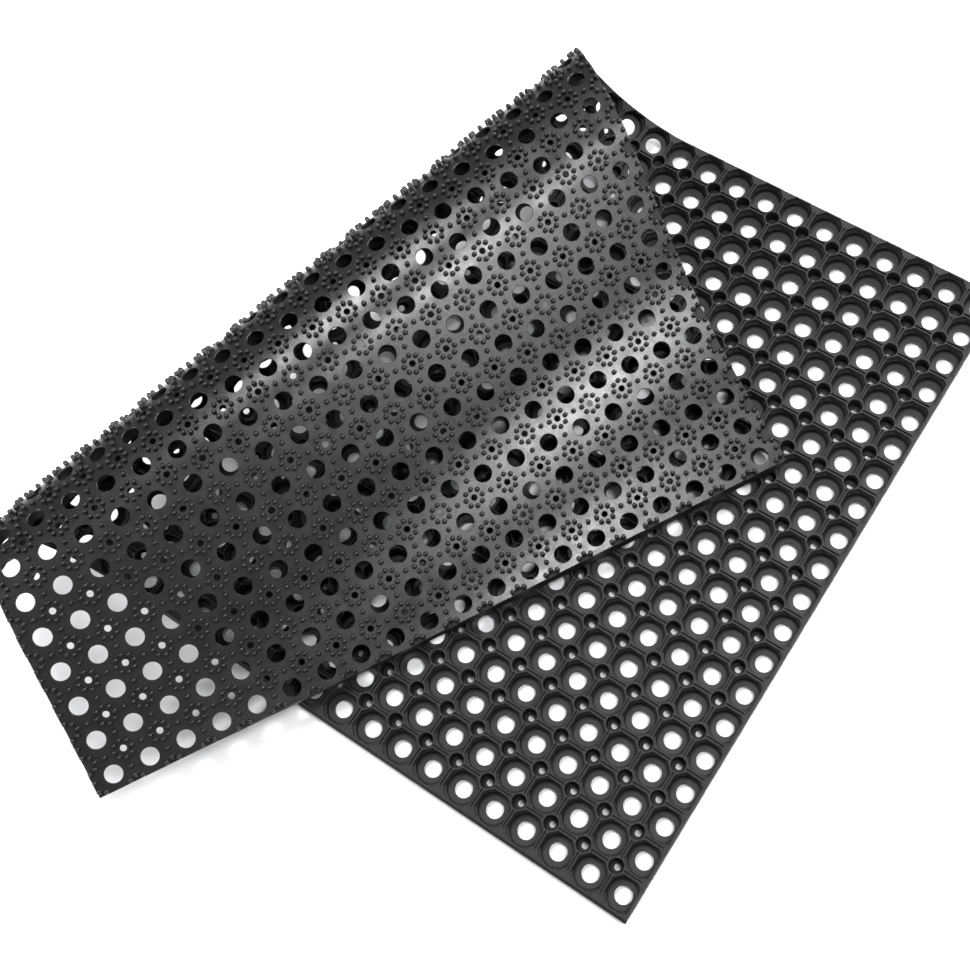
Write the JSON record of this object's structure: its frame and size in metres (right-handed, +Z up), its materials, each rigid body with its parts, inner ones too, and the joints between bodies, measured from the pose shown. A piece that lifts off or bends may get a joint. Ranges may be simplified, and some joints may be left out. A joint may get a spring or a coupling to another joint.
{
  "type": "rubber ring mat",
  "caption": "Moulded black rubber ring door mat with open octagonal cells, drain holes and a studded underside, folded over along a slanting line; it unfolds to lie flat.",
  "frame": {"origin": "centre of the folded mat's bounding box, on the floor that the studs of the lower leaf stand on", "axes": "+X along the mat's length towards the lower leaf's free short edge, +Y across its width, +Z up"},
  "size_m": [0.7806, 0.9926, 0.1777],
  "materials": {
    "stud_rubber": "satin moulded rubber, domed stud tips",
    "web_rubber": "satin moulded rubber, slightly glossy underside skin",
    "cell_rubber": "matt moulded rubber with fine mould grain"
  },
  "bodies": {
    "leaf": {"leaf_studs": "stud_rubber", "leaf_web": "web_rubber", "leaf_cells": "cell_rubber"},
    "fold_1": {"fold_1_studs": "stud_rubber", "fold_1_web": "web_rubber", "fold_1_cells": "cell_rubber"},
    "fold_2": {"fold_2_studs": "stud_rubber", "fold_2_web": "web_rubber", "fold_2_cells": "cell_rubber"},
    "fold_3": {"fold_3_studs": "stud_rubber", "fold_3_web": "web_rubber", "fold_3_cells": "cell_rubber"},
    "fold_4": {"fold_4_studs": "stud_rubber", "fold_4_web": "web_rubber", "fold_4_cells": "cell_rubber"},
    "fold_5": {"fold_5_studs": "stud_rubber", "fold_5_web": "web_rubber", "fold_5_cells": "cell_rubber"},
    "fold_6": {"fold_6_studs": "stud_rubber", "fold_6_web": "web_rubber", "fold_6_cells": "cell_rubber"},
    "fold_7": {"fold_7_studs": "stud_rubber", "fold_7_web": "web_rubber", "fold_7_cells": "cell_rubber"},
    "fold_8": {"fold_8_studs": "stud_rubber", "fold_8_web": "web_rubber", "fold_8_cells": "cell_rubber"},
    "flap": {"flap_studs": "stud_rubber", "flap_web": "web_rubber", "flap_cells": "cell_rubber"}
  },
  "joints": [
    {"name": "fold_line_1", "type": "hinge", "parent": "leaf", "child": "fold_1", "pos_m": [-0.12037, 0.25053, 0.00625], "axis": [-0.2689, -0.9632, 0], "range_deg": [0, 30]},
    {"name": "fold_line_2", "type": "hinge", "parent": "fold_1", "child": "fold_2", "pos_m": [-0.18376, 0.26823, 0.04425], "axis": [-0.2689, -0.9632, 0], "range_deg": [0, 30]},
    {"name": "fold_line_3", "type": "hinge", "parent": "fold_2", "child": "fold_3", "pos_m": [-0.21458, 0.27683, 0.09968], "axis": [-0.2689, -0.9632, 0], "range_deg": [0, 30]},
    {"name": "fold_line_4", "type": "hinge", "parent": "fold_3", "child": "fold_4", "pos_m": [-0.21458, 0.27683, 0.13368], "axis": [-0.2689, -0.9632, 0], "range_deg": [0, 30]},
    {"name": "fold_line_5", "type": "hinge", "parent": "fold_4", "child": "fold_5", "pos_m": [-0.20302, 0.2736, 0.15446], "axis": [-0.2689, -0.9632, 0], "range_deg": [0, 30]},
    {"name": "fold_line_6", "type": "hinge", "parent": "fold_5", "child": "fold_6", "pos_m": [-0.17466, 0.26569, 0.17146], "axis": [-0.2689, -0.9632, 0], "range_deg": [0, 30]},
    {"name": "fold_line_7", "type": "hinge", "parent": "fold_6", "child": "fold_7", "pos_m": [-0.11495, 0.24901, 0.17146], "axis": [-0.2689, -0.9632, 0], "range_deg": [0, 30]},
    {"name": "fold_line_8", "type": "hinge", "parent": "fold_7", "child": "fold_8", "pos_m": [0.06355, 0.19917, 0.06446], "axis": [-0.2689, -0.9632, 0], "range_deg": [-15, 0]},
    {"name": "fold_line_9", "type": "hinge", "parent": "fold_8", "child": "flap", "pos_m": [0.14878, 0.17538, 0.04075], "axis": [-0.2689, -0.9632, 0], "range_deg": [-15, 0]}
  ],
  "couplings": [
    {"joint": "fold_line_2", "follows": "fold_line_1", "ratio": 1},
    {"joint": "fold_line_3", "follows": "fold_line_1", "ratio": 1},
    {"joint": "fold_line_4", "follows": "fold_line_1", "ratio": 1},
    {"joint": "fold_line_5", "follows": "fold_line_1", "ratio": 1},
    {"joint": "fold_line_6", "follows": "fold_line_1", "ratio": 1},
    {"joint": "fold_line_7", "follows": "fold_line_1", "ratio": 1},
    {"joint": "fold_line_8", "follows": "fold_line_1", "ratio": -0.5},
    {"joint": "fold_line_9", "follows": "fold_line_1", "ratio": -0.5}
  ]
}
